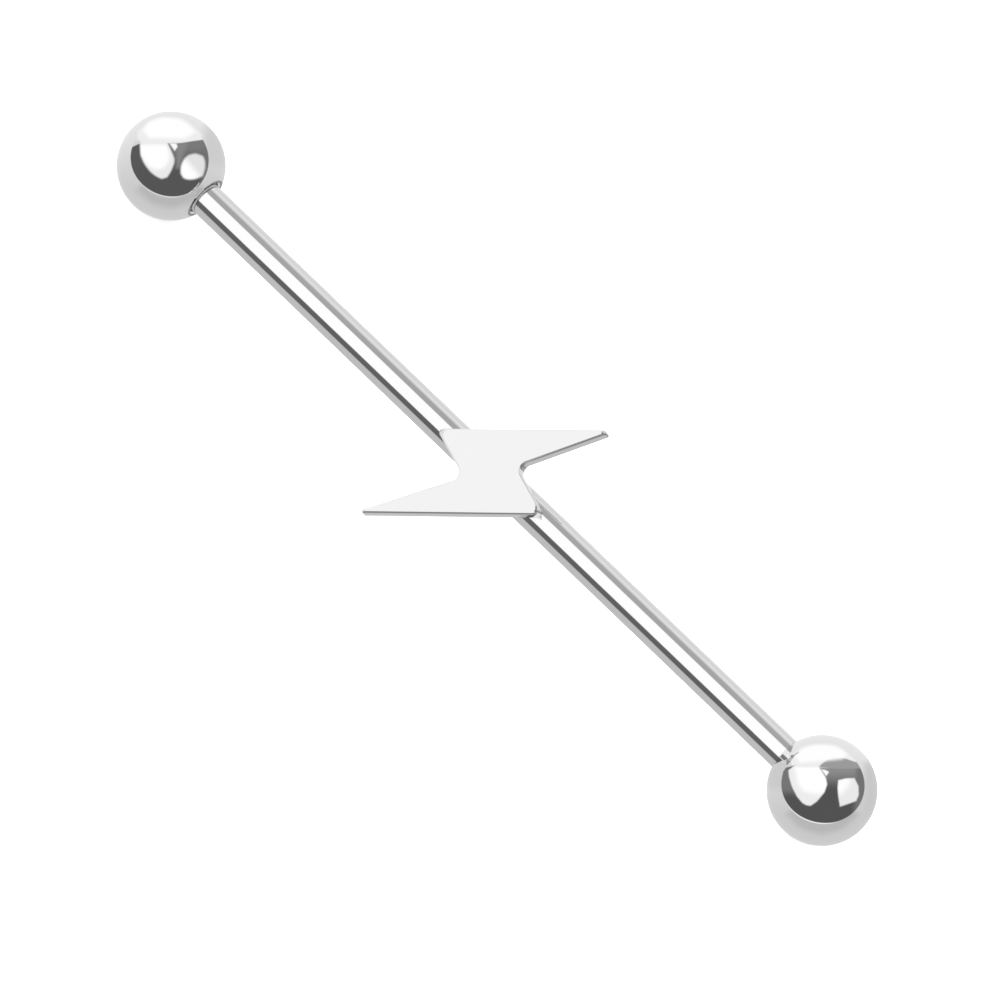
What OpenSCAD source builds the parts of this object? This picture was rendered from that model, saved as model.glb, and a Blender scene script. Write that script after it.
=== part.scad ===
// Industrial barbell with a lightning bolt soldered on the bar.
// The bar lies along X with its middle at the origin. At rest the barbell
// lies on both balls and on the long tip of the bolt, at z = -ball_d / 2.

/* [Bar] */
// Diameter of the bar
bar_d = 1.6; // [1.5:0.1:1.8]
// Length of the bar seen between the two balls
bar_l = 38; // [30:1:48]

/* [Balls] */
// Diameter of each ball
ball_d = 5; // [4.5:0.5:6]
// Diameter of the flat round each ball's hole
flat_d = 2.2; // [2.2:0.1:2.6]
// How far the bar's shoulder sits inside the ball
seat_depth = 0.15; // [0.1:0.05:0.3]

/* [Thread] */
// Outer diameter of the threaded studs at the ends of the bar
thread_d = 1.2; // [1:0.1:1.2]
// Pitch of the thread
thread_pitch = 0.25; // [0.2:0.05:0.3]
// Length of each threaded stud
stud_l = 2.6; // [2:0.1:3]

/* [Bolt] */
// Thickness of the bolt's plate
bolt_t = 0.9; // [0.6:0.1:1.4]
// Size of the bolt's outline against the one drawn below
bolt_size = 1; // [0.9:0.05:1.2]
// How deep the bar's top is let into the bolt's back
bolt_sink = 0.1; // [0.05:0.05:0.2]

/* [Solder] */
// Radius of the solder's hollow flank between bolt and bar
solder_r = 0.1; // [0.05:0.05:0.3]
// Thickness of the thin coat of solder round the bar under the bolt
solder_coat = 0.03; // [0.02:0.01:0.05]

/* [Hidden] */
$fn = 96;

// Corners of the bolt's outline, seen from its front with the bar along X:
// [along the bar, across the bar, rounding radius]
BOLT_CORNERS = [
    [-3.08, -0.28, 0.18], // blunt corner towards the left ball
    [-0.57, -1.02, 0.42], // notch beside the long tip
    [-3.19, -5.66, 0.08], // long tip, which touches the floor
    [ 3.38,  0.26, 0.25], // blunt corner towards the right ball
    [ 0.90,  0.99, 0.42], // notch beside the short tip
    [ 3.17,  5.39, 0.13]  // short tip, which points up
];
ARC_STEPS = 6;
COAT_STEPS = 8;
PLAY = 0.02;          // gap between two pieces that meet
CHAMFER = 0.1;        // bevel at the ends of the bar and the studs
SEAT_PLAY = 0.08;     // gap round the bar's end in its seat
BORE_PLAY = 0.03;     // gap round the stud in its bore
BORE_SPARE = 0.3;     // free depth beyond the stud's end
MOUTH_RIM = 0.1;      // width of the flat left round the hole's bevelled mouth
SOLDER_INSET = 0.05;  // how far the solder keeps inside the bolt's outline
THREAD_DEPTH = 0.61;  // depth of the thread's groove, as a share of the pitch
THREAD_CREST = 0.12;  // half the width of its flat crest, as a share of the pitch

bar_r = bar_d / 2;
ball_r = ball_d / 2;
thread_r = thread_d / 2;
ball_x = bar_l / 2 + sqrt(pow(ball_r, 2) - pow(flat_d / 2, 2));
shoulder_x = bar_l / 2 + seat_depth - PLAY;
stud_x = shoulder_x + stud_l;
bore_r = thread_r + BORE_PLAY;
seat_r = bar_r + SEAT_PLAY;
bolt_back = bar_r - bolt_sink;
corner_n = len(BOLT_CORNERS);
coat_l = 2 * bolt_size * max([for (row = BOLT_CORNERS) row.x]);

// The bolt's outline with every corner rounded, drawn in by inset all round.
function bolt_outline(inset) = [
    for (i = [0 : corner_n - 1])
        each rounded_corner(bolt_corner(i - 1), bolt_corner(i), bolt_corner(i + 1),
                            BOLT_CORNERS[i][2] * bolt_size, inset)
];

function bolt_corner(i) =
    let (row = BOLT_CORNERS[(i + corner_n) % corner_n]) bolt_size * [row.x, row.y];

// Points of the arc that rounds one corner. The outline runs anticlockwise,
// so a corner that turns right is a notch, whose arc widens with the inset.
function rounded_corner(before, here, after, radius, inset) =
    let (
        u = (before - here) / norm(before - here),
        v = (after - here) / norm(after - here),
        half = acos(u * v) / 2,
        out = cross(u, v) < 0 ? 1 : -1,
        middle = (u + v) / norm(u + v),
        r = radius - out * inset,
        centre = here + middle * (radius / sin(half)),
        from = atan2(-middle.y, -middle.x) - out * (90 - half)
    )
    [for (k = [0 : ARC_STEPS])
        let (a = from + out * (180 - 2 * half) * k / ARC_STEPS)
        centre + r * [cos(a), sin(a)]];

// How far the long tip reaches across the bar, and the roll about the bar
// that brings the back edge of that tip down to the floor.
tip_reach = max([for (p = bolt_outline(0)) -p.y]);
roll = asin(ball_r / norm([tip_reach, bolt_back])) + atan2(bolt_back, tip_reach);

// A solid of revolution about X, from a profile of [radius, x] points.
module turned(profile) {
    rotate([0, 90, 0]) rotate_extrude() polygon(profile);
}

// V-shaped grooves of the thread along one stud, as [radius, x] points.
function thread_profile() = [
    for (k = [0 : floor((stud_l - CHAMFER) / thread_pitch) - 2])
        let (x = shoulder_x + (k + 1) * thread_pitch, half = (0.5 - THREAD_CREST) * thread_pitch)
        each [[thread_r, x - half], [thread_r - THREAD_DEPTH * thread_pitch, x], [thread_r, x + half]]
];

// The thin coat of solder round the middle of the bar: a very flat barrel.
function coat_profile() = [
    for (k = [0 : COAT_STEPS])
        let (s = 2 * k / COAT_STEPS - 1)
        [bar_r + solder_coat * (1 - s * s), s * coat_l / 2]
];

// The bar's own profile from its middle to one end.
function bar_end_profile() = concat(
    [[bar_r, shoulder_x - CHAMFER], [bar_r - CHAMFER, shoulder_x], [thread_r, shoulder_x]],
    thread_profile(),
    [[thread_r, stud_x - CHAMFER], [thread_r - CHAMFER, stud_x], [0, stud_x]]
);

function mirrored(profile) =
    [for (i = [len(profile) - 1 : -1 : 0]) [profile[i][0], -profile[i][1]]];

module bar() {
    turned(concat(mirrored(bar_end_profile()), coat_profile(), bar_end_profile()));
}

// The bolt's plate, its back at z = 0.
module bolt_plate() {
    linear_extrude(height = bolt_t) polygon(bolt_outline(0));
}

// The solder that fills the corner between the bolt's back and the bar.
module solder() {
    flank_y = sqrt(pow(bar_r + solder_r, 2) - pow(bolt_back - solder_r, 2));
    low = atan2(bolt_back - solder_r, flank_y);
    flank = [for (k = [0 : ARC_STEPS])
        let (a = 90 + (90 + low) * k / ARC_STEPS)
        [flank_y, bolt_back - solder_r] + solder_r * [cos(a), sin(a)]];
    half = concat([[flank_y, bolt_back + bolt_sink / 2]], flank);
    section = concat(half, [for (i = [len(half) - 1 : -1 : 0]) [-half[i].x, half[i].y]]);
    intersection() {
        rotate([90, 0, 90]) linear_extrude(height = coat_l, center = true) polygon(section);
        translate([0, 0, -ball_r]) linear_extrude(height = ball_d) polygon(bolt_outline(SOLDER_INSET));
    }
}

// The bar with its two threaded studs and the bolt, soldered into one piece.
module shaft_with_bolt() {
    color([0.84, 0.85, 0.86]) rotate([roll, 0, 0]) {
        bar();
        translate([0, 0, bolt_back]) bolt_plate();
        solder();
    }
}

// One screw-on ball, its hole opening towards -X. The hole is a blind bore
// with a shallow seat for the end of the bar and a bevelled mouth.
module ball() {
    flat_x = bar_l / 2;
    mouth_r = flat_d / 2 - MOUTH_RIM;
    mouth_x = flat_x + min(mouth_r - seat_r, 0.8 * seat_depth);
    seat_x = flat_x + seat_depth;
    bore_end = stud_x + BORE_SPARE;
    color([0.88, 0.89, 0.90]) difference() {
        translate([ball_x, 0, 0]) rotate([0, 90, 0]) sphere(d = ball_d);
        translate([flat_x - ball_d, -ball_d, -ball_d]) cube([ball_d, 2 * ball_d, 2 * ball_d]);
        turned([[0, flat_x - ball_r], [mouth_r, flat_x - ball_r], [mouth_r, flat_x], [seat_r, mouth_x],
                [seat_r, seat_x], [bore_r, seat_x], [bore_r, bore_end], [0, bore_end + bore_r / 2]]);
    }
}

module ball_right() {
    ball();
}

module ball_left() {
    mirror([1, 0, 0]) ball();
}

shaft_with_bolt();
ball_left();
ball_right();
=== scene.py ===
"""Looks of the industrial barbell: a steel bar with a soldered lightning bolt and two screw-on balls.

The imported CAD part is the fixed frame. Every piece is modelled in millimetres, brought to metres when it
is finished, and rides on the CAD body that it dresses.
"""
import logging
import math
from contextlib import contextmanager
from dataclasses import dataclass, field
from enum import Enum
from typing import Callable, Iterator, Sequence

import bmesh
import bpy
from mathutils import Matrix, Vector


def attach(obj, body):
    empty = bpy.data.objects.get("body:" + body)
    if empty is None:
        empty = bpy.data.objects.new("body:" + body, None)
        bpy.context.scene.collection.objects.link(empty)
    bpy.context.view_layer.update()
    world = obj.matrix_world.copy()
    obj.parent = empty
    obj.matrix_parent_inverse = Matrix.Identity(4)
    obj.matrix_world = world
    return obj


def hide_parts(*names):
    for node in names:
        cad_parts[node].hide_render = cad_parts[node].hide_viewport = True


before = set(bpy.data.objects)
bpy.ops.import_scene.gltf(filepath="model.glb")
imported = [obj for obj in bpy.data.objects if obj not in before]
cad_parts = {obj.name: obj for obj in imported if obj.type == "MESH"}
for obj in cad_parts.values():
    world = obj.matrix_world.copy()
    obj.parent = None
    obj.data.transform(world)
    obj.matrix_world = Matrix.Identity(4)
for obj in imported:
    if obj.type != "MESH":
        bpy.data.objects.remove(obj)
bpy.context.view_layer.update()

MM = 0.001
SMOOTH_ANGLE = math.radians(18.0)
PICTURE_SPIN = math.radians(43.828)  # how far the bar slopes down to the right in the photograph
TINY = 1e-5  # in millimetres, for points that fall together
FACING = 0.9  # a face looks along the bar when its normal's share along it is larger

Point = tuple[float, float]
Socket = bpy.types.NodeSocket
Tree = bpy.types.NodeTree

logging.basicConfig(level=logging.INFO, format="%(levelname)s %(message)s")
log = logging.getLogger("barbell")


class Side(Enum):
    """The end of the bar that a ball or a stud belongs to."""

    LEFT = -1
    RIGHT = 1


# Colour and shader nodes


def grey_to_linear(level: float) -> float:
    """Turn one sRGB channel, from 0 to 1, into its linear value."""
    return level / 12.92 if level <= 0.04045 else ((level + 0.055) / 1.055) ** 2.4


def hex_to_linear(code: str) -> tuple[float, float, float, float]:
    """Turn an sRGB hex colour into linear red, green, blue and alpha.

    Args:
        code: The colour as a hash sign and six hex digits.

    Returns:
        The colour as the shader sockets take it.
    """
    red, green, blue = (grey_to_linear(int(code[i:i + 2], 16) / 255) for i in (1, 3, 5))
    return red, green, blue, 1.0


def add_node(tree: Tree, kind: str, inputs: dict | None = None,
             **settings: object) -> bpy.types.Node:
    """Add one node with its settings, its input values and its links.

    Args:
        tree: The node tree to add to.
        kind: The node's type.
        inputs: For each input, by name or number, a value or the output socket that feeds it.
        settings: The node's own properties.

    Returns:
        The new node.
    """
    node = tree.nodes.new(kind)
    for name, value in settings.items():
        setattr(node, name, value)
    for name, value in (inputs or {}).items():
        if isinstance(value, bpy.types.NodeSocket):
            tree.links.new(value, node.inputs[name])
        else:
            node.inputs[name].default_value = value
    return node


def maths(tree: Tree, operation: str, *values: object) -> Socket:
    """Add a Math node on these values or sockets and return its output."""
    return add_node(tree, "ShaderNodeMath", dict(enumerate(values)), operation=operation).outputs[0]


# Modelling with operators


def deselect_all() -> None:
    """Leave nothing selected and object mode on, before a piece is begun."""
    if bpy.context.mode != "OBJECT":
        bpy.ops.object.mode_set(mode="OBJECT")
    bpy.ops.object.select_all(action="DESELECT")


@contextmanager
def editing(obj: bpy.types.Object, select_mode: str = "FACE") -> Iterator[None]:
    """Work on one mesh in edit mode.

    Args:
        obj: The mesh to edit.
        select_mode: VERT, EDGE or FACE.
    """
    deselect_all()
    obj.select_set(True)
    bpy.context.view_layer.objects.active = obj
    bpy.ops.object.mode_set(mode="EDIT")
    bpy.ops.mesh.select_mode(type=select_mode)
    try:
        yield
    finally:
        bpy.ops.object.mode_set(mode="OBJECT")


def pick_faces(obj: bpy.types.Object, wanted: Callable[[bmesh.types.BMFace], bool]) -> None:
    """Select the faces that pass a test, and no others.

    Args:
        obj: The mesh, in edit mode.
        wanted: The test on a face.
    """
    bpy.ops.mesh.select_all(action="DESELECT")
    mesh = bmesh.from_edit_mesh(obj.data)
    for face in mesh.faces:
        face.select_set(wanted(face))
    bmesh.update_edit_mesh(obj.data)


def extrude_ring(step: float, scale: float, x: float) -> None:
    """Extrude the selected end face along the bar and turn it down or up to a new radius.

    Args:
        step: How far the face moves along the bar.
        scale: Its new radius as a share of the old one.
        x: Where the face lies after the move.
    """
    bpy.ops.mesh.extrude_region_move(TRANSFORM_OT_translate={"value": (step, 0.0, 0.0)})
    bpy.ops.transform.resize(value=(1.0, scale, scale), center_override=(x, 0.0, 0.0))


def turn_profile(start: Point, profile: Sequence[Point], side: Side) -> None:
    """Follow a turned profile from the selected end face.

    Args:
        start: Radius and distance from the bar's middle of the selected face.
        profile: The same two numbers for each further ring.
        side: The end of the bar.
    """
    radius, x = start
    for next_radius, next_x in profile:
        extrude_ring(side.value * (next_x - x), next_radius / radius, side.value * next_x)
        radius, x = next_radius, next_x


def place_corners(obj: bpy.types.Object, places: Sequence[Sequence[float]]) -> None:
    """Move the corners of the selected face.

    Args:
        obj: The mesh, in edit mode, with one face selected.
        places: The new place of each corner, in the face's own order.
    """
    mesh = bmesh.from_edit_mesh(obj.data)
    face = next(face for face in mesh.faces if face.select)
    for corner, place in zip(face.verts, places):
        corner.co = place
    bmesh.update_edit_mesh(obj.data)


def finish_piece(obj: bpy.types.Object, name: str, body: str,
                 node: str) -> bpy.types.Object:
    """Name a finished mesh, bring it to metres and fix it to its CAD body.

    Args:
        obj: The mesh, in millimetres.
        name: The piece's name.
        body: The CAD body that it rides on.
        node: The CAD node that it stands for.

    Returns:
        The same object.
    """
    with editing(obj):
        bpy.ops.mesh.select_all(action="SELECT")
        bpy.ops.mesh.normals_make_consistent(inside=False)
    obj.scale = (MM, MM, MM)
    bpy.ops.object.transform_apply(location=True, rotation=True, scale=True)
    bpy.ops.object.shade_smooth_by_angle(angle=SMOOTH_ANGLE)
    obj.name = obj.data.name = name
    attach(obj, body)
    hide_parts(node)
    log.info("%s: %d faces on body %s", name, len(obj.data.polygons), body)
    return obj


# Finishes


@dataclass(frozen=True)
class PolishedSteel:
    """Surgical stainless steel, mirror-polished on a buffing wheel: clear reflections with a trace of haze.

    The haze comes from fine wheel marks, far finer than a pixel, which only soften the edges of what is
    reflected. Broad, faint changes of roughness are where fingers and the wheel have touched the steel.

    Attributes:
        haze: How much the roughness changes from place to place.
        haze_mm: How broad those places are.
        haze_noise: The part of the noise's range that is used for them.
        mark_mm: How broad the wheel marks are.
        stretch: How the marks are drawn out along each axis.
    """

    name: str = "polished_surgical_steel"
    colour: str = "#e7e7e7"
    roughness: float = 0.045
    haze: float = 0.02
    haze_mm: float = 2.5
    haze_noise: tuple[float, float] = (0.35, 0.65)
    haze_detail: float = 3.0
    mark_mm: float = 0.05
    mark_detail: float = 4.0
    mark_height_mm: float = 0.00002
    stretch: tuple[float, float, float] = (1.0, 1.0, 1.0)

    def material(self) -> bpy.types.Material:
        """Make the node material."""
        made = bpy.data.materials.new(self.name)
        made.use_nodes = True
        tree = made.node_tree
        shader = tree.nodes["Principled BSDF"]
        shader.inputs["Base Color"].default_value = hex_to_linear(self.colour)
        shader.inputs["Metallic"].default_value = 1.0
        place = add_node(tree, "ShaderNodeTexCoord").outputs["Object"]
        cloud = self.noise(tree, place, self.haze_mm, self.haze_detail)
        low, high = self.haze_noise
        spread = add_node(tree, "ShaderNodeMapRange",
                          {"Value": cloud, "From Min": low, "From Max": high,
                           "To Min": self.roughness - self.haze / 2,
                           "To Max": self.roughness + self.haze / 2})
        tree.links.new(spread.outputs[0], shader.inputs["Roughness"])
        stretched = add_node(tree, "ShaderNodeMapping", {"Vector": place, "Scale": self.stretch})
        marks = self.noise(tree, stretched.outputs[0], self.mark_mm, self.mark_detail)
        bump = add_node(tree, "ShaderNodeBump",
                        {"Height": marks, "Strength": 1.0, "Distance": self.mark_height_mm * MM})
        tree.links.new(bump.outputs[0], shader.inputs["Normal"])
        return made

    def noise(self, tree: Tree, place: Socket, size_mm: float, detail: float) -> Socket:
        """Add a noise whose clouds are about this many millimetres broad."""
        return add_node(tree, "ShaderNodeTexNoise",
                        {"Vector": place, "Scale": 1.0 / (size_mm * MM), "Detail": detail}).outputs[0]


BALL_STEEL = PolishedSteel(name="mirror_polished_surgical_steel")
BAR_STEEL = PolishedSteel(name="wheel_polished_surgical_steel", stretch=(0.05, 1.0, 1.0))
BOLT_STEEL = PolishedSteel(name="buffed_stainless_plate", colour="#dddddd", roughness=0.06)
CUT_STEEL = PolishedSteel(name="thread_cut_surgical_steel", colour="#c4c4c4", roughness=0.2,
                          haze=0.06)
# Painted shade: the seat's floor, the bore and its thread get a darker colour for the shade inside the
# hole, on an unpolished drilled finish.
SHADED_BORE_STEEL = PolishedSteel(name="unpolished_drilled_steel_painted_shade", colour="#9c9c9c", roughness=0.32,
                           haze=0.1)
# Painted shade: the flat round the hole and the seat's wall get a dark colour for the shade at the hole's
# mouth, on a turned finish.
SHADED_FLAT_STEEL = PolishedSteel(name="turned_steel_flat_painted_shade", colour="#888888", roughness=0.14, haze=0.06)
SILVER_SOLDER = PolishedSteel(name="tumbled_silver_solder", colour="#d8d8d6", roughness=0.16,
                              haze=0.08, haze_mm=0.5, mark_mm=0.15, mark_height_mm=0.002)


# The real object's pieces


@dataclass
class Thread:
    """The machine thread of the studs and of the balls' bores, in millimetres."""

    pitch: float = 0.25
    depth: float = 0.61 * 0.25
    crest: float = 0.12
    cuts: int = 10

    def groove(self, phase: float) -> float:
        """How deep the V is at this share of a turn, from 0 on the crest to 1 at the bottom."""
        return max(0.0, 1.0 - abs(phase % 1.0 - 0.5) / (0.5 - self.crest))


@dataclass
class Bar:
    """The straight bar with a threaded stud at each end, in millimetres."""

    radius: float = 0.8
    length: float = 38.0
    seat_depth: float = 0.15
    play: float = 0.02
    bevel: float = 0.1
    stud_length: float = 2.6
    stud_radius: float = 0.6
    sides: int = 128
    thread: Thread = field(default_factory=Thread)

    @property
    def shoulder_x(self) -> float:
        """Where the bar ends and its studs begin."""
        return self.length / 2 + self.seat_depth - self.play

    @property
    def stud_x(self) -> float:
        """Where a stud ends."""
        return self.shoulder_x + self.stud_length

    def build(self) -> bpy.types.Object:
        """Model the bar: a cylinder whose end faces are drawn out to bevels and studs."""
        deselect_all()
        straight = self.shoulder_x - self.bevel
        bpy.ops.mesh.primitive_cylinder_add(vertices=self.sides, radius=self.radius,
                                            depth=2 * straight, rotation=(0.0, math.pi / 2, 0.0))
        bar = bpy.context.active_object
        bpy.ops.object.transform_apply(rotation=True)
        with editing(bar):
            for side in Side:
                pick_faces(bar, lambda face: face.normal.x * side.value > FACING)
                turn_profile((self.radius, straight), self.end_profile(), side)
        self.cut_thread(bar)
        return finish_piece(bar, "steel_bar", "shaft", "shaft_with_bolt")

    def end_profile(self) -> list[Point]:
        """Radius and place of each ring from the bar's bevel to the stud's end."""
        pitch_step = self.thread.pitch / self.thread.cuts
        rings = int((self.stud_length - self.bevel) / pitch_step)
        return [(self.radius - self.bevel, self.shoulder_x), (self.stud_radius, self.shoulder_x),
                *((self.stud_radius, self.shoulder_x + (i + 1) * pitch_step) for i in range(rings)),
                (self.stud_radius - self.bevel, self.stud_x)]

    def cut_thread(self, bar: bpy.types.Object) -> None:
        """Cut the helical V groove into both studs, running out at their ends."""
        first = self.shoulder_x + self.thread.pitch / 2
        last = self.stud_x - self.bevel
        for vertex in bar.data.vertices:
            x = abs(vertex.co.x)
            if not first < x < last:
                continue
            turn = math.atan2(vertex.co.z, vertex.co.y) / math.tau
            fade = min(1.0, (x - first) / self.thread.pitch, (last - x) / self.thread.pitch)
            phase = vertex.co.x / self.thread.pitch - turn
            depth = self.thread.depth * fade * self.thread.groove(phase)
            share = 1.0 - depth / self.stud_radius
            vertex.co.y *= share
            vertex.co.z *= share

    def dress(self, bar: bpy.types.Object) -> None:
        """Give the bar its polish and the studs their cut finish."""
        bar.data.materials.append(BAR_STEEL.material())
        bar.data.materials.append(CUT_STEEL.material())
        for face in bar.data.polygons:
            face.material_index = int(abs(face.center.x) > (self.shoulder_x - self.play) * MM)


@dataclass
class Ball:
    """One screw-on ball with a flat round its bevelled hole, in millimetres."""

    side: Side
    bar: Bar
    radius: float = 2.5
    flat_radius: float = 1.1
    rim: float = 0.15
    seat_play: float = 0.08
    bore_play: float = 0.03
    bore_spare: float = 0.3
    drill_tip: float = 0.02
    ease: float = 0.03
    ease_steps: int = 4
    segments: int = 160
    rings: int = 96

    @property
    def flat_x(self) -> float:
        """Where the flat lies, measured from the bar's middle."""
        return self.bar.length / 2

    @property
    def centre_x(self) -> float:
        """Where the ball's middle lies."""
        return self.flat_x + math.sqrt(self.radius ** 2 - self.flat_radius ** 2)

    def build(self) -> bpy.types.Object:
        """Model the ball: a sphere cut flat on the bar's side, its rim eased and its hole drawn in."""
        deselect_all()
        towards = self.side.value
        bpy.ops.mesh.primitive_uv_sphere_add(segments=self.segments, ring_count=self.rings,
                                             radius=self.radius,
                                             location=(towards * self.centre_x, 0.0, 0.0),
                                             rotation=(0.0, math.pi / 2, 0.0))
        ball = bpy.context.active_object
        bpy.ops.object.transform_apply(location=True, rotation=True)
        flat = towards * self.flat_x
        with editing(ball):
            bpy.ops.mesh.select_all(action="SELECT")
            bpy.ops.mesh.bisect(plane_co=(flat, 0.0, 0.0), plane_no=(towards, 0.0, 0.0),
                                use_fill=True, clear_inner=True, threshold=TINY)
            bpy.ops.mesh.select_mode(type="EDGE")
            pick_faces(ball, lambda face: abs(face.calc_center_median().x - flat) < 10 * TINY)
            bpy.ops.mesh.region_to_loop()
            bpy.ops.mesh.bevel(offset=self.ease, segments=self.ease_steps, profile=0.5)
            bpy.ops.mesh.select_mode(type="FACE")
            pick_faces(ball, lambda face: len(face.verts) > self.segments // 2)
            bpy.ops.mesh.inset(thickness=self.rim - self.ease)
            turn_profile((self.flat_radius - self.rim, self.flat_x), self.hole_profile(), self.side)
        which = self.side.name.lower()
        return finish_piece(ball, f"steel_ball_{which}", f"{which}_ball", f"ball_{which}")

    def hole_profile(self) -> list[Point]:
        """Radius and place of each ring from the mouth's bevel to the end of the threaded bore."""
        thread = self.bar.thread
        mouth = self.flat_radius - self.rim
        seat = self.bar.radius + self.seat_play
        bore = self.bar.stud_radius + self.bore_play
        seat_x = self.flat_x + self.bar.seat_depth
        end_x = self.bar.stud_x + self.bore_spare
        turns = int((end_x - seat_x) / thread.pitch)
        grooves = [ring for i in range(turns) for ring in (
            (bore, seat_x + (i + thread.crest) * thread.pitch),
            (bore + thread.depth, seat_x + (i + 0.5) * thread.pitch),
            (bore, seat_x + (i + 1 - thread.crest) * thread.pitch))]
        return [(seat, self.flat_x + mouth - seat), (seat, seat_x), (bore, seat_x), *grooves,
                (bore, end_x), (bore * self.drill_tip, end_x + bore / 2)]

    def dress(self, ball: bpy.types.Object) -> None:
        """Polish the ball and its mouth's bevel, and leave the flat as turned and the hole as drilled, both
        with painted shade in their darker colour.
        """
        for finish in (BALL_STEEL, SHADED_BORE_STEEL, SHADED_FLAT_STEEL):
            ball.data.materials.append(finish.material())
        centre = Vector((self.side.value * self.centre_x * MM, 0.0, 0.0))
        skin = (self.radius - self.bar.play) * MM
        mouth_x = (self.flat_x + self.bar.seat_depth - self.bar.play) * MM
        # Painted shade: faces in the hole's mouth that face along the bar take the dark flat steel, and the
        # deeper hole takes the dark bore steel.
        for face in ball.data.polygons:
            outside = (face.center - centre).length > skin
            in_mouth = abs(face.center.x) < mouth_x
            sloping = 1 - FACING < abs(face.normal.x) < FACING
            if outside or in_mouth and sloping:
                face.material_index = 0
            else:
                face.material_index = 2 if in_mouth else 1


@dataclass(frozen=True)
class Corner:
    """One corner of the bolt, in millimetres: its place along and across the bar and its rounding.

    The polished face has a rounding of its own, since the wheel takes more off the blunt corners.
    """

    along: float
    across: float
    rounding: float
    face_rounding: float

    @property
    def place(self) -> Vector:
        """The sharp corner as a 2-D point."""
        return Vector((self.along, self.across))


@dataclass
class Bolt:
    """The lightning bolt: a flat plate with a rolled front edge, soldered on the bar, in millimetres."""

    bar: Bar
    ball_radius: float = 2.5
    thickness: float = 0.9
    sink: float = 0.1
    roll_width: float = 0.08
    roll_height: float = 0.3
    back_ease: float = 0.03
    support: float = 0.02
    arc_steps: int = 12
    roll_steps: int = 10
    corners: tuple[Corner, ...] = (
        Corner(-3.08, -0.28, 0.18, 0.38),
        Corner(-0.57, -1.02, 0.42, 0.42),
        Corner(-3.19, -5.66, 0.08, 0.11),
        Corner(3.38, 0.26, 0.25, 0.40),
        Corner(0.90, 0.99, 0.42, 0.42),
        Corner(3.17, 5.39, 0.13, 0.16),
    )

    @property
    def back(self) -> float:
        """Height of the plate's back over the bar's axis."""
        return self.bar.radius - self.sink

    @property
    def turn(self) -> float:
        """How far the barbell has rolled about the bar, so that the long tip lies on the floor."""
        reach = max(-point.y for point in self.outline(0.0, 0.0))
        return math.asin(self.ball_radius / math.hypot(reach, self.back)) + math.atan2(self.back, reach)

    def outline(self, inset: float, share: float) -> list[Vector]:
        """The plate's outline with rounded corners, drawn in all round.

        Args:
            inset: How far the outline is drawn in.
            share: How far its corners have changed from the wall's rounding, at 0, to the face's, at 1.

        Returns:
            The points, anticlockwise from the front.
        """
        points = []
        count = len(self.corners)
        for i, corner in enumerate(self.corners):
            to_last = (self.corners[i - 1].place - corner.place).normalized()
            to_next = (self.corners[(i + 1) % count].place - corner.place).normalized()
            half = math.acos(to_last.dot(to_next)) / 2
            middle = (to_last + to_next).normalized()
            bulge = 1 if to_last.cross(to_next) < 0 else -1
            rounding = corner.rounding + share * (corner.face_rounding - corner.rounding)
            reach = max(rounding, inset) if bulge > 0 else rounding
            radius = max(rounding - bulge * inset, 0.0)
            centre = corner.place + middle * (reach / math.sin(half))
            start = math.atan2(-middle.y, -middle.x) - bulge * (math.pi / 2 - half)
            sweep = bulge * (math.pi - 2 * half)
            for step in range(self.arc_steps + 1):
                angle = start + sweep * step / self.arc_steps
                points.append(centre + radius * Vector((math.cos(angle), math.sin(angle))))
        return points

    def loops(self) -> list[tuple[float, float, float]]:
        """Inset, height and share of the face's rounding of each loop from the plate's back to its face."""
        front = self.back + self.thickness
        shoulder = front - self.roll_height
        low = self.back + self.back_ease
        angles = [math.pi / 2 * i / self.roll_steps for i in range(self.roll_steps + 1)]
        roll = [(self.roll_width * (1 - math.cos(a)), shoulder + self.roll_height * math.sin(a),
                 1 - math.cos(a)) for a in angles]
        return [(0.0, low, 0.0), (0.0, low + self.support, 0.0), (0.0, shoulder - self.support, 0.0),
                *roll, (self.roll_width + self.support, front, 1.0)]

    def build(self) -> bpy.types.Object:
        """Model the plate: one face shaped to the outline and extruded loop by loop to the front."""
        deselect_all()
        count = len(self.corners) * (self.arc_steps + 1)
        bpy.ops.mesh.primitive_circle_add(vertices=count, radius=1.0, fill_type="NGON")
        plate = bpy.context.active_object
        with editing(plate):
            bpy.ops.mesh.select_all(action="SELECT")
            place_corners(plate, self.loop(self.back_ease, self.back, 0.0))
            for inset, height, share in self.loops():
                bpy.ops.mesh.extrude_region_move()
                place_corners(plate, self.loop(inset, height, share))
            bpy.ops.mesh.select_all(action="SELECT")
            bpy.ops.mesh.remove_doubles(threshold=TINY)
        plate.rotation_euler.x = self.turn
        return finish_piece(plate, "steel_bolt", "shaft", "shaft_with_bolt")

    def loop(self, inset: float, height: float, share: float) -> list[tuple[float, float, float]]:
        """The plate's outline, drawn in, at a height over the bar's axis."""
        return [(point.x, point.y, height) for point in self.outline(inset, share)]

    def dress(self, plate: bpy.types.Object) -> None:
        """Give the plate its buffed finish."""
        plate.data.materials.append(BOLT_STEEL.material())


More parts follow.
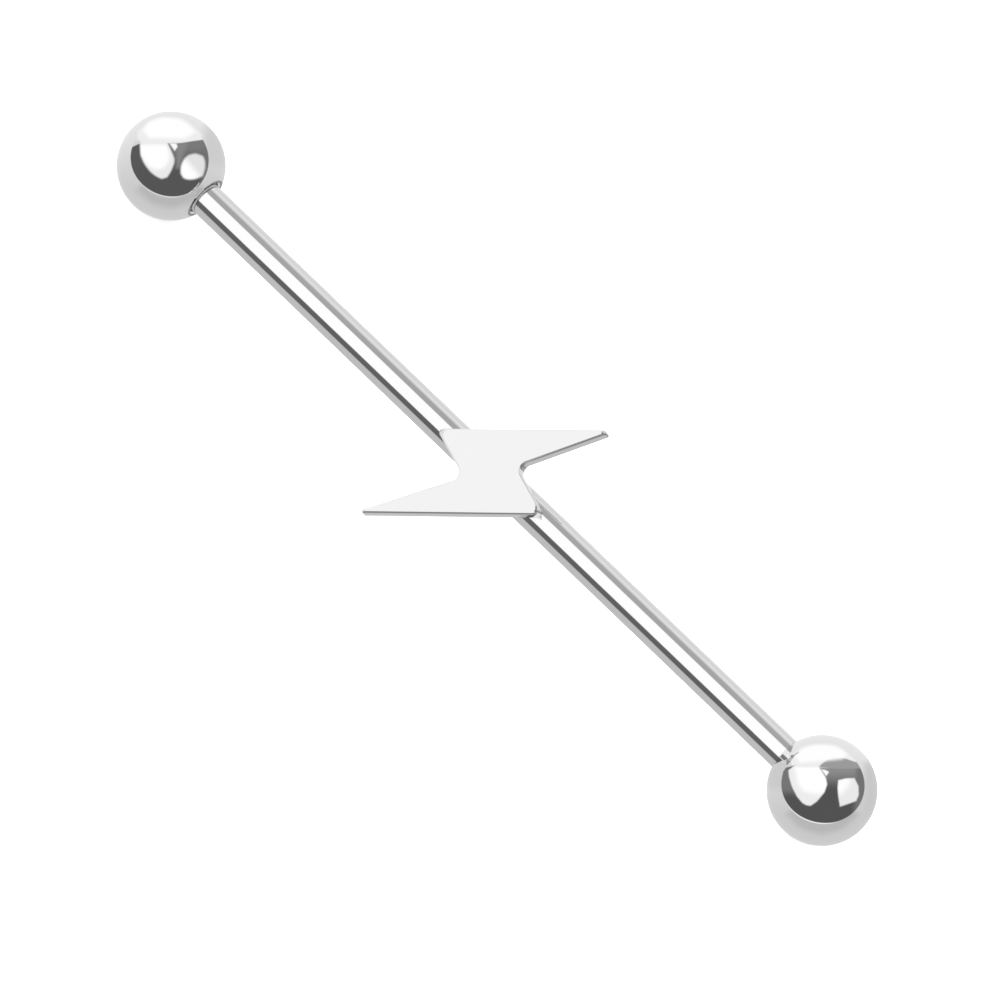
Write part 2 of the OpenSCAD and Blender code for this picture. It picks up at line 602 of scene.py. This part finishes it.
@dataclass
class Solder:
    """The seam of silver solder in the corners between the bolt's back and the bar, in millimetres."""

    bar: Bar
    bolt: Bolt
    flank: float = 0.1
    least: float = 0.005
    reach: float = 2.1
    under_long_arm: Point = (-1.1, 2.1)
    under_short_arm: Point = (-1.8, 1.6)
    wave: float = 0.1
    wave_rate: float = 4.0
    slices: int = 60
    arc_steps: int = 6

    def flank_radius(self, x: float, span: Point) -> float:
        """How big one flank is here, thinning out at the ends of the plate's cover.

        Args:
            x: The slice's place along the bar.
            span: Where the plate covers that side of the bar.
        """
        share = (2 * x - span[0] - span[1]) / (span[1] - span[0])
        thinning = math.sqrt(max(0.0, 1 - share ** 4))
        unevenness = 1 - self.wave + self.wave * math.sin(self.wave_rate * x)
        return max(self.least, self.flank * thinning * unevenness)

    def half_section(self, flank: float) -> list[Point]:
        """Across and up of one side of the seam's cross-section, from the plate down to the bar."""
        rise = self.bolt.back - flank
        out = math.sqrt((self.bar.radius + flank) ** 2 - rise ** 2)
        low = math.atan2(rise, out)
        section = [(out, self.bolt.back + self.bolt.sink / 2)]
        for step in range(self.arc_steps + 1):
            angle = math.pi / 2 + (math.pi / 2 + low) * step / self.arc_steps
            section.append((out + flank * math.cos(angle), rise + flank * math.sin(angle)))
        return section

    def section(self, x: float) -> list[Point]:
        """Across and up of the whole cross-section at this place along the bar."""
        short_side = self.half_section(self.flank_radius(x, self.under_short_arm))
        long_side = self.half_section(self.flank_radius(x, self.under_long_arm))
        return short_side + [(-across, up) for across, up in reversed(long_side)]

    def build(self) -> bpy.types.Object:
        """Model the seam: its cross-section extruded slice by slice along the bar."""
        deselect_all()
        count = 2 * (self.arc_steps + 2)
        bpy.ops.mesh.primitive_circle_add(vertices=count, radius=1.0, fill_type="NGON")
        seam = bpy.context.active_object
        with editing(seam):
            bpy.ops.mesh.select_all(action="SELECT")
            for step in range(self.slices + 1):
                if step:
                    bpy.ops.mesh.extrude_region_move()
                x = self.reach * (2 * step / self.slices - 1)
                place_corners(seam, [(x, across, up) for across, up in self.section(x)])
        seam.rotation_euler.x = self.bolt.turn
        return finish_piece(seam, "solder_seam", "shaft", "shaft_with_bolt")

    def dress(self, seam: bpy.types.Object) -> None:
        """Give the seam its tumbled finish."""
        seam.data.materials.append(SILVER_SOLDER.material())


# Studio


@dataclass(frozen=True)
class Viewpoint:
    """The photograph's view of the barbell, fitted to the balls, the bar and the bolt's corners.

    Attributes:
        turn: How far the barbell has rolled about the bar.
        tilt: How far the right ball is nearer to the camera than the left one.
        spin: How far the bar slopes down to the right in the picture.
        aside_mm: How far the camera stands to the right of the barbell's middle.
        up_mm: How far it stands above it.
    """

    turn: float
    tilt: float = math.radians(16.0)
    spin: float = PICTURE_SPIN
    distance_mm: float = 700.0
    lens_mm: float = 556.8
    sensor_mm: float = 36.0
    aside_mm: float = 0.275
    up_mm: float = -1.114
    clip: tuple[float, float] = (0.01, 20.0)

    @property
    def bolt_front(self) -> Vector:
        """The way that the bolt's front face looks."""
        return Vector((0.0, -math.sin(self.turn), math.cos(self.turn)))

    @property
    def towards(self) -> Vector:
        """From the barbell to the camera."""
        return math.cos(self.tilt) * self.bolt_front + math.sin(self.tilt) * Vector((1.0, 0.0, 0.0))

    @property
    def right(self) -> Vector:
        """The picture's right."""
        along = math.cos(self.tilt) * Vector((1.0, 0.0, 0.0)) - math.sin(self.tilt) * self.bolt_front
        across = Vector((0.0, -math.cos(self.turn), -math.sin(self.turn)))
        return math.cos(self.spin) * along - math.sin(self.spin) * across

    @property
    def up(self) -> Vector:
        """The picture's upward direction."""
        return self.towards.cross(self.right)

    def make_camera(self) -> bpy.types.Object:
        """Make the camera and set it as the scene's."""
        data = bpy.data.cameras.new("photo_camera")
        data.lens = self.lens_mm
        data.sensor_width = self.sensor_mm
        data.clip_start, data.clip_end = self.clip
        camera = bpy.data.objects.new("photo_camera", data)
        bpy.context.scene.collection.objects.link(camera)
        place = self.distance_mm * self.towards + self.aside_mm * self.right + self.up_mm * self.up
        turned = Matrix((self.right, self.up, self.towards)).transposed().to_4x4()
        camera.matrix_world = Matrix.Translation(place * MM) @ turned
        bpy.context.scene.camera = camera
        return camera


# The spans below are in mirror-ball radii, or in heights over the table's far edge
TABLE_SPAN = (-0.6, 0.8)  # where the table's tone goes from its low to its high value, upwards
ROOM_SPAN = (0.0, 0.38)  # the same for the room
RIM_HEIGHTS = (-0.06, -0.03)  # how far below the far edge the table's lit rim begins
RIM_FADE_UP = (-0.55, -0.1)  # where the rim fades out, upwards
RIM_FADE_RIGHT = (0.0, 0.35)  # where it fades out, to the right


@dataclass(frozen=True)
class Lamp:
    """One bright or dark shape of a light tent, as a mirror ball shows it from the camera.

    Attributes:
        outline: Its corners, anticlockwise, in ball radii to the right and up of the ball's middle.
        tone: The grey, from 0 to 255, that polished steel shows.
        soft: Half the width of its soft edge.
        round: How much its corners are rounded.
        core: Its brightest part, which shows only inside it.
    """

    outline: tuple[Point, ...]
    tone: int
    soft: float = 0.015
    round: float = 0.03
    core: "Lamp | None" = None


@dataclass
class Tent:
    """The light tent that some of the pieces mirror: a pale table, a dim room and its lamps.

    Attributes:
        lamps: What stands in the room, the hindmost first.
        walls: What lies over both the room and the table.
        patches: The darker patches on the table, painted shade among them.
        echoes: What shows over all of it where another piece mirrors the pieces.
        table_low: The table's tone at the bottom of a mirror ball, and so on up to table_high.
        room_low: The room's tone at the middle of a mirror ball, and so on up to room_high.
        rim: The tone of the table's lit edge.
        lean: How much the table's far edge rises to the left.
        sag: How much that edge curves down at both sides.
        twist: How much it is drawn askew.
        horizon: How much it is lifted.
        camera_height: How steeply the camera of the photograph looks down on the table.
        steel_share: The share of light that the steel throws back.
    """

    name: str
    view: Viewpoint
    receivers: list[bpy.types.Object]
    lamps: tuple[Lamp, ...] = ()
    walls: tuple[Lamp, ...] = ()
    patches: tuple[Lamp, ...] = ()
    echoes: tuple[Lamp, ...] = ()
    table_low: int = 201
    table_high: int = 228
    room_low: int = 85
    room_high: int = 122
    rim: int = 200
    lean: float = 0.0
    sag: float = 0.0
    twist: float = 0.0
    horizon: float = 0.0
    camera_height: float = math.radians(70.4)
    radius: float = 1.6
    steel_share: float = 0.8
    soft_horizon: float = 0.012

    def radiance(self, tone: int) -> float:
        """How bright a lamp is that polished steel shows as this grey."""
        return grey_to_linear(tone / 255) / self.steel_share

    def build(self) -> bpy.types.Object:
        """Make the tent: a sphere that only reflections see, lit by its own material."""
        deselect_all()
        bpy.ops.mesh.primitive_ico_sphere_add(subdivisions=5, radius=self.radius)
        tent = bpy.context.active_object
        tent.name = self.name
        tent.data.materials.append(self.material())
        bpy.ops.object.shade_smooth()
        tent.visible_camera = tent.visible_diffuse = tent.visible_shadow = False
        group = bpy.data.collections.new(f"{self.name}_receivers")
        for piece in self.receivers:
            group.objects.link(piece)
        tent.light_linking.receiver_collection = group
        log.info("%s lights %s", self.name, ", ".join(piece.name for piece in self.receivers))
        return tent

    def material(self) -> bpy.types.Material:
        """Make the tent's glow, which lets through whatever lies behind it."""
        made = bpy.data.materials.new(f"{self.name}_glow")
        made.use_nodes = True
        made.cycles.emission_sampling = "NONE"
        tree = made.node_tree
        tree.nodes.clear()
        glow = add_node(tree, "ShaderNodeEmission", {"Strength": self.pattern(tree)})
        clear = add_node(tree, "ShaderNodeBsdfTransparent")
        both = add_node(tree, "ShaderNodeAddShader", {0: glow.outputs[0], 1: clear.outputs[0]})
        add_node(tree, "ShaderNodeOutputMaterial", {"Surface": both.outputs[0]})
        return made

    def pattern(self, tree: Tree) -> Socket:
        """Lay the table, the room and the lamps over each other.

        Args:
            tree: The glow's node tree.

        Returns:
            The socket with the tent's radiance.
        """
        place = add_node(tree, "ShaderNodeNewGeometry").outputs["Position"]
        way = self.unit(tree, place)
        summed = add_node(tree, "ShaderNodeVectorMath", {0: way, 1: self.view.towards},
                          operation="ADD")
        normal = self.unit(tree, summed.outputs[0])
        across = self.dot(tree, normal, self.view.right)
        up = self.dot(tree, normal, self.view.up)
        spot = add_node(tree, "ShaderNodeCombineXYZ", {0: across, 1: up, 2: 1.0}).outputs[0]
        height = self.height(tree, way)
        table = self.ramp(tree, up, TABLE_SPAN, self.radiance(self.table_low),
                          self.radiance(self.table_high))
        table = self.lay_all(tree, table, self.patches, spot)
        rim = maths(tree, "MULTIPLY", self.ramp(tree, height, RIM_HEIGHTS, 0.0, 1.0),
                    self.ramp(tree, up, RIM_FADE_UP, 1.0, 0.0))
        rim = maths(tree, "MULTIPLY", rim, self.ramp(tree, across, RIM_FADE_RIGHT, 1.0, 0.0))
        table = self.lay_over(tree, table, self.radiance(self.rim), rim)
        room = self.ramp(tree, up, ROOM_SPAN, self.radiance(self.room_low),
                         self.radiance(self.room_high))
        room = self.lay_all(tree, room, self.lamps, spot)
        edge = (self.horizon - self.soft_horizon, self.horizon + self.soft_horizon)
        shown = self.lay_over(tree, table, room, self.ramp(tree, height, edge, 0.0, 1.0))
        shown = self.lay_all(tree, shown, self.walls, spot)
        if not self.echoes:
            return shown
        depth = add_node(tree, "ShaderNodeLightPath").outputs["Ray Depth"]
        return self.lay_over(tree, shown, self.lay_all(tree, shown, self.echoes, spot),
                             maths(tree, "GREATER_THAN", depth, 1.5))

    def height(self, tree: Tree, way: Socket) -> Socket:
        """Work out how high a direction points over the table's far edge.

        Args:
            tree: The glow's node tree.
            way: The direction.

        Returns:
            The socket with the height, 0 at the edge.
        """
        view = self.view
        table_up = (math.cos(self.camera_height) * view.up
                    + math.sin(self.camera_height) * view.towards + self.lean * view.right)
        side = self.dot(tree, way, view.right)
        twisted = maths(tree, "MULTIPLY", self.dot(tree, way, view.up), self.twist)
        bend = maths(tree, "MULTIPLY_ADD", side, self.sag, twisted)
        return maths(tree, "MULTIPLY_ADD", side, bend, self.dot(tree, way, table_up))

    def lay_all(self, tree: Tree, under: Socket, lamps: Sequence[Lamp], spot: Socket) -> Socket:
        """Lay lamps over a brightness, one after the other.

        Args:
            tree: The glow's node tree.
            under: What lies behind them.
            lamps: The lamps, the hindmost first.
            spot: Right and up on the mirror ball, and 1.
        """
        for lamp in lamps:
            glow = self.radiance(lamp.tone)
            if lamp.core:
                glow = self.lay_over(tree, glow, self.radiance(lamp.core.tone),
                                     self.shape(tree, spot, lamp.core))
            under = self.lay_over(tree, under, glow, self.shape(tree, spot, lamp))
        return under

    def unit(self, tree: Tree, vector: Socket) -> Socket:
        """Add a node that brings a vector to length 1."""
        return add_node(tree, "ShaderNodeVectorMath", {0: vector}, operation="NORMALIZE").outputs[0]

    def dot(self, tree: Tree, vector: Socket, other: Sequence[float]) -> Socket:
        """Add a dot product with a fixed vector."""
        return add_node(tree, "ShaderNodeVectorMath", {0: vector, 1: other},
                        operation="DOT_PRODUCT").outputs["Value"]

    def ramp(self, tree: Tree, value: Socket, span: Point, first: float, last: float) -> Socket:
        """Add a smooth step from one value to another."""
        return add_node(tree, "ShaderNodeMapRange",
                        {"Value": value, "From Min": span[0], "From Max": span[1],
                         "To Min": first, "To Max": last},
                        interpolation_type="SMOOTHSTEP").outputs[0]

    def lay_over(self, tree: Tree, under: object, over: object, share: Socket) -> Socket:
        """Mix one brightness over another."""
        return add_node(tree, "ShaderNodeMix", {0: share, 2: under, 3: over},
                        data_type="FLOAT").outputs[0]

    def shape(self, tree: Tree, spot: Socket, lamp: Lamp) -> Socket:
        """Work out where one lamp shows.

        Args:
            tree: The glow's node tree.
            spot: Right and up on the mirror ball, and 1.
            lamp: The lamp.

        Returns:
            The socket that is 1 inside the lamp's outline and 0 outside.
        """
        inside = None
        for start, end in zip(lamp.outline, lamp.outline[1:] + lamp.outline[:1]):
            edge = Vector((end[0] - start[0], end[1] - start[1])).normalized()
            inward = (-edge.y, edge.x, edge.y * start[0] - edge.x * start[1])
            depth = self.dot(tree, spot, inward)
            if inside is None:
                inside = depth
            else:
                inside = maths(tree, "SMOOTH_MIN", inside, depth, lamp.round)
        return self.ramp(tree, inside, (-lamp.soft, lamp.soft), 0.0, 1.0)


def stripe(first: float, last: float, tone: int, soft: float = 0.03, near: float = -2.0,
           far: float = 2.0) -> Lamp:
    """Make a lamp that lies along the bar.

    Args:
        first: Where it begins across the bar, in bar radii towards the picture's upper right.
        last: Where it ends.
        tone: The grey that the bar shows.
        soft: Half the width of its soft edges.
        near: Where it begins along the bar; the camera sees the bar by what lies near 0.
        far: Where it ends along the bar.
    """
    out = Vector((math.sin(PICTURE_SPIN), math.cos(PICTURE_SPIN)))
    along = Vector((out.y, -out.x))
    corners = (first * out + far * along, last * out + far * along, last * out + near * along,
               first * out + near * along)
    return Lamp(tuple((corner.x, corner.y) for corner in corners), tone, soft)


def bar_stripes(near: float = -2.0, far: float = 2.0) -> tuple[Lamp, ...]:
    """Make the long lamps that the bar shows, between two places along it."""
    stripes = ((-1.2, -0.54, 188), (-0.628, -0.25, 95), (-0.340, 0.40, 254), (0.292, 1.2, 164),
               (0.60, 1.2, 222, 0.075), (0.775, 1.2, 209), (0.85, 1.2, 215, 0.02))
    return tuple(stripe(*numbers, near=near, far=far) for numbers in stripes)


# The room's ceiling and walls, which several tents share
CEILING = Lamp(
    ((-0.80, 0.405), (0.15, 0.405), (0.65, 0.50), (0.9, 0.7), (0.5, 1.1), (-0.5, 1.1), (-0.9, 0.7)),
    tone=238, soft=0.012)
BACK_WALL = Lamp(
    ((-0.62, 0.46), (0.45, 0.50), (0.56, 0.555), (0.48, 0.65), (0.37, 0.745), (0.24, 0.83),
     (0.08, 0.875), (-0.12, 0.875), (-0.28, 0.84), (-0.46, 0.755), (-0.60, 0.62)),
    tone=238, soft=0.035)
LEFT_WALL = Lamp(((-0.85, 0.275), (-0.545, 0.41), (-0.6, 0.7), (-0.85, 0.7)), tone=214, soft=0.015)
DARK_WALL = Lamp(((-0.85, -0.05), (-0.5, -0.05), (-0.5, 0.5), (-0.85, 0.5)), tone=88, soft=0.1)
PALE_GAP = Lamp(((0.10, -0.05), (0.16, -0.05), (0.30, 0.42), (0.09, 0.42)), tone=134, soft=0.06)
PALE_STRIP = Lamp(((0.54, -0.55), (0.9, -0.25), (0.9, 0.42), (0.62, 0.42)), tone=114, soft=0.07)
SOFTBOX = Lamp(
    ((-0.38, 0.495), (0.25, 0.495), (0.43, 0.62), (0.30, 0.765), (0.12, 0.855), (-0.20, 0.87),
     (-0.42, 0.78), (-0.51, 0.63)),
    tone=255, soft=0.055, round=0.05)

# The left ball's windows, and the painted shade and dim patches on its table
WINDOW_LEFT_FAR = Lamp(
    ((-0.56, 0.42), (-0.55, 0.19), (-0.485, 0.035), (-0.378, -0.112), (-0.275, -0.195),
     (-0.17, -0.245), (-0.07, -0.218), (0.004, -0.108), (0.062, 0.04), (0.066, 0.12), (0.01, 0.265),
     (-0.07, 0.42)),
    tone=234, soft=0.026, round=0.02,
    core=Lamp(((-0.65, 0.38), (-0.53, 0.14), (-0.40, -0.02), (-0.26, -0.08), (-0.13, -0.05),
               (-0.04, 0.06), (-0.02, 0.20), (-0.08, 0.38)),
              tone=255, soft=0.06, round=0.05))
WINDOW_RIGHT_FAR = Lamp(
    ((0.18, -0.15), (0.235, -0.235), (0.325, -0.262), (0.45, -0.25), (0.585, -0.19), (0.63, -0.04),
     (0.625, 0.09), (0.585, 0.18), (0.45, 0.225), (0.32, 0.192), (0.242, 0.12), (0.185, -0.01)),
    tone=226, soft=0.03,
    core=Lamp(((0.0, -0.40), (0.56, -0.40), (0.50, -0.14), (0.38, 0.0), (0.26, 0.13), (0.0, 0.13)),
              tone=254, soft=0.08, round=0.05))
SKYLIGHT_FAR = Lamp(((-0.025, 0.402), (0.068, 0.264), (0.12, 0.34), (0.098, 0.398)),
                    tone=250, soft=0.016, round=0.01)
# Painted shade: a darker patch over the near part of the mirrored table.
NEAR_TABLE_PAINTED_SHADE = Lamp(
    ((-0.64, -0.44), (-0.37, -0.69), (0.0, -0.79), (0.37, -0.69), (0.64, -0.44), (0.0, 0.2)),
    tone=183, soft=0.09, round=0.08)
DIM_RIGHT = Lamp(((0.62, 0.0), (1.1, 0.0), (1.1, 0.78), (0.58, 0.78)), tone=204, soft=0.12)

# The right ball's windows, the mirrored bar's shadows and the dim patches on its table
WINDOW_LEFT_NEAR = Lamp(
    ((-0.62, 0.42), (-0.60, 0.234), (-0.546, 0.06), (-0.455, -0.112), (-0.36, -0.222),
     (-0.29, -0.263), (-0.21, -0.273), (-0.10, -0.196), (0.036, -0.03), (0.084, 0.112),
     (0.058, 0.234), (-0.06, 0.42)),
    tone=237, soft=0.018, round=0.01,
    core=Lamp(((-0.52, 0.50), (-0.44, 0.12), (-0.34, -0.01), (-0.18, -0.06), (0.20, -0.06),
               (0.20, 0.50)),
              tone=255, soft=0.07, round=0.05))
WINDOW_RIGHT_NEAR = Lamp(
    ((0.312, -0.285), (0.45, -0.242), (0.60, -0.188), (0.645, -0.085), (0.642, 0.07),
     (0.575, 0.213), (0.425, 0.213), (0.285, 0.182), (0.270, 0.05), (0.281, -0.11)),
    tone=234, soft=0.018, round=0.01,
    core=Lamp(((0.0, -0.12), (0.34, -0.07), (0.50, 0.12), (0.50, 0.40), (0.0, 0.40)),
              tone=253, soft=0.08, round=0.05))
SKYLIGHT_NEAR = Lamp(((-0.02, 0.38), (0.07, 0.26), (0.12, 0.333), (0.05, 0.37)),
                     tone=251, soft=0.012, round=0.01)
SOFTBOX_NEAR = Lamp(
    ((-0.40, 0.50), (0.38, 0.56), (0.46, 0.64), (0.32, 0.77), (0.12, 0.825), (-0.16, 0.825),
     (-0.36, 0.77), (-0.50, 0.63)),
    tone=254, soft=0.05, round=0.05)
DARK_ARCH = Lamp(
    ((-0.09, 0.39), (0.3, 0.385), (0.70, 0.35), (0.635, 0.48), (0.50, 0.537), (0.36, 0.584),
     (0.22, 0.588), (0.10, 0.55), (-0.012, 0.477)),
    tone=155, soft=0.014, round=0.01)
PALE_SIDE = Lamp(((-0.85, -0.05), (-0.5, -0.05), (-0.5, 0.5), (-0.85, 0.5)), tone=117, soft=0.1)
BAR_SHADOW = Lamp(((-0.66, 0.62), (-0.64, 0.45), (-0.485, 0.645)), tone=102, round=0.005)
WALL_TOP = Lamp(((-0.71, 0.33), (-0.60, 0.37), (-0.50, 0.452), (-0.66, 0.41)),
                tone=112, soft=0.012, round=0.005)
DIM_EDGE = Lamp(((0.74, -0.55), (1.1, -0.55), (1.1, 0.45), (0.76, 0.45)), tone=199, soft=0.1)
DIM_LEFT = Lamp(((-1.1, 0.0), (-0.68, 0.0), (-0.60, 0.75), (-1.1, 0.75)), tone=202, soft=0.12)

# The sheets and panels that the bolt's face and its six rolled edges show, with painted shade for the table
# under the bolt
BOLT_WINDOW = Lamp(
    ((-0.585, 0.42), (-0.51, 0.035), (-0.30, -0.235), (0.01, -0.10), (0.09, 0.12), (-0.045, 0.42)),
    tone=254, soft=0.014)
# Painted shade: the table under the bolt, darkened as if in the bolt's own shadow, as its lower edges
# mirror it.
PAINTED_SHADE_UNDER_BOLT = Lamp(
    ((-0.34, -0.50), (-0.25, -0.96), (0.22, -0.90), (0.50, -0.80), (0.78, -0.60), (0.95, -0.25),
     (0.90, 0.0), (0.30, 0.0)),
    tone=132, soft=0.03)
PALE_FRONT = Lamp(
    ((-0.50, -0.63), (-0.10, -0.63), (0.15, -0.50), (0.34, -0.36), (0.40, -0.20), (0.20, 0.05),
     (-0.50, 0.05)),
    tone=252, soft=0.06, round=0.05)
DARK_CORNER = Lamp(((0.10, -0.12), (0.26, -0.36), (0.43, -0.36), (0.43, 0.12), (0.20, 0.06)),
                   tone=112, soft=0.03)
RIGHT_PANEL = Lamp(((0.44, -0.20), (1.0, -0.20), (1.0, 0.40), (0.44, 0.30)), tone=222, soft=0.03)
RIGHT_SHEET = Lamp(((0.0, 0.16), (1.1, 0.36), (1.1, 0.70), (0.0, 0.45)), tone=220, soft=0.03)
LEFT_SHEET = Lamp(((-1.1, -0.80), (-0.36, -0.11), (-0.27, 0.0), (-0.27, 0.45), (-1.1, 0.45)),
                  tone=231, soft=0.03)

# The bar as the balls mirror it: pale beside the left ball, with one dark streak beside the right one
BAR_IN_BALLS = (stripe(-1.2, 1.2, 190, 0.05, near=0.25),
                stripe(-0.30, -0.06, 125, 0.04, near=-0.80, far=-0.50))


@dataclass
class Studio:
    """A plain white floor under plain soft light, and the tents that the steel mirrors."""

    view: Viewpoint
    floor_z_mm: float
    floor_half: float = 4.0
    floor_colour: str = "#f4f4f4"
    sun_strength: float = 10.0
    sun_angle: float = math.radians(150.0)
    tent_gap: float = 0.05

    def build(self, bar: bpy.types.Object, bolt: Sequence[bpy.types.Object],
              balls: dict[Side, bpy.types.Object]) -> None:
        """Set up the floor, the background, the soft light, the tents and the camera.

        Args:
            bar: The bar.
            bolt: The bolt and its solder.
            balls: The ball on each side.
        """
        self.make_floor()
        self.make_background()
        self.make_soft_light()
        steel_bolt, seam = bolt
        tents = (
            Tent("tent_of_ball_left", self.view, [balls[Side.LEFT]],
                 lamps=(PALE_GAP, DARK_WALL, PALE_STRIP, CEILING, LEFT_WALL, WINDOW_LEFT_FAR,
                        WINDOW_RIGHT_FAR, SKYLIGHT_FAR),
                 walls=(BACK_WALL, SOFTBOX), patches=(NEAR_TABLE_PAINTED_SHADE, DIM_RIGHT),
                 rim=214, lean=-0.037, twist=-0.11, horizon=0.02),
            Tent("tent_of_ball_right", self.view, [balls[Side.RIGHT]],
                 lamps=(PALE_SIDE, PALE_STRIP, CEILING, LEFT_WALL, DARK_ARCH, WINDOW_LEFT_NEAR,
                        WINDOW_RIGHT_NEAR, SKYLIGHT_NEAR),
                 walls=(SOFTBOX_NEAR, BAR_SHADOW, WALL_TOP),
                 patches=(NEAR_TABLE_PAINTED_SHADE, DIM_LEFT, DIM_EDGE),
                 room_low=82, room_high=140, rim=246, lean=0.03, sag=0.087, twist=-0.05),
            Tent("tent_of_bolt", self.view, [steel_bolt], lamps=(CEILING, SOFTBOX, BOLT_WINDOW),
                 walls=(PAINTED_SHADE_UNDER_BOLT, PALE_FRONT, DARK_CORNER, RIGHT_PANEL, RIGHT_SHEET, LEFT_SHEET),
                 table_low=190),
            Tent("tent_of_bar", self.view, [bar, seam],
                 lamps=(PALE_GAP, DARK_WALL, CEILING, LEFT_WALL, WINDOW_LEFT_FAR, WINDOW_RIGHT_FAR),
                 walls=(BACK_WALL, SOFTBOX, *bar_stripes(near=-0.45, far=0.15)),
                 echoes=(*bar_stripes(), *BAR_IN_BALLS)))
        for i, tent in enumerate(tents):
            tent.radius += i * self.tent_gap
            tent.build()
        self.view.make_camera()

    def make_floor(self) -> None:
        """Lay a plain, matt white floor under the barbell."""
        deselect_all()
        bpy.ops.mesh.primitive_grid_add(x_subdivisions=4, y_subdivisions=4,
                                        size=2 * self.floor_half,
                                        location=(0.0, 0.0, self.floor_z_mm * MM))
        floor = bpy.context.active_object
        floor.name = "floor"
        paper = bpy.data.materials.new("matt_white_paper")
        paper.use_nodes = True
        shader = paper.node_tree.nodes["Principled BSDF"]
        shader.inputs["Base Color"].default_value = hex_to_linear(self.floor_colour)
        shader.inputs["Roughness"].default_value = 1.0
        shader.inputs["Specular IOR Level"].default_value = 0.0
        floor.data.materials.append(paper)
        floor.visible_glossy = False

    def make_background(self) -> None:
        """Let the camera see white past the floor, while the steel sees only the tents."""
        world = bpy.data.worlds.new("white_studio")
        bpy.context.scene.world = world
        world.use_nodes = True
        tree = world.node_tree
        seen = add_node(tree, "ShaderNodeLightPath").outputs["Is Camera Ray"]
        tree.links.new(seen, tree.nodes["Background"].inputs["Strength"])
        tree.nodes["Background"].inputs["Color"].default_value = (1.0, 1.0, 1.0, 1.0)

    def make_soft_light(self) -> None:
        """Light the floor evenly from a broad overhead dome of light."""
        data = bpy.data.lights.new("overhead_softbox", "SUN")
        data.energy = self.sun_strength
        data.angle = self.sun_angle
        lamp = bpy.data.objects.new("overhead_softbox", data)
        bpy.context.scene.collection.objects.link(lamp)
        lamp.visible_glossy = False


def main() -> None:
    """Build and dress the barbell's pieces and set up the studio."""
    bar = Bar()
    bolt = Bolt(bar)
    solder = Solder(bar, bolt)
    steel_bar = bar.build()
    bar.dress(steel_bar)
    steel_bolt = bolt.build()
    bolt.dress(steel_bolt)
    seam = solder.build()
    solder.dress(seam)
    balls = {}
    for side in Side:
        ball = Ball(side, bar)
        balls[side] = ball.build()
        ball.dress(balls[side])
    Studio(Viewpoint(bolt.turn), -bolt.ball_radius).build(steel_bar, (steel_bolt, seam), balls)
    bpy.context.scene.view_settings.view_transform = "Standard"


if __name__ == "__main__":
    main()
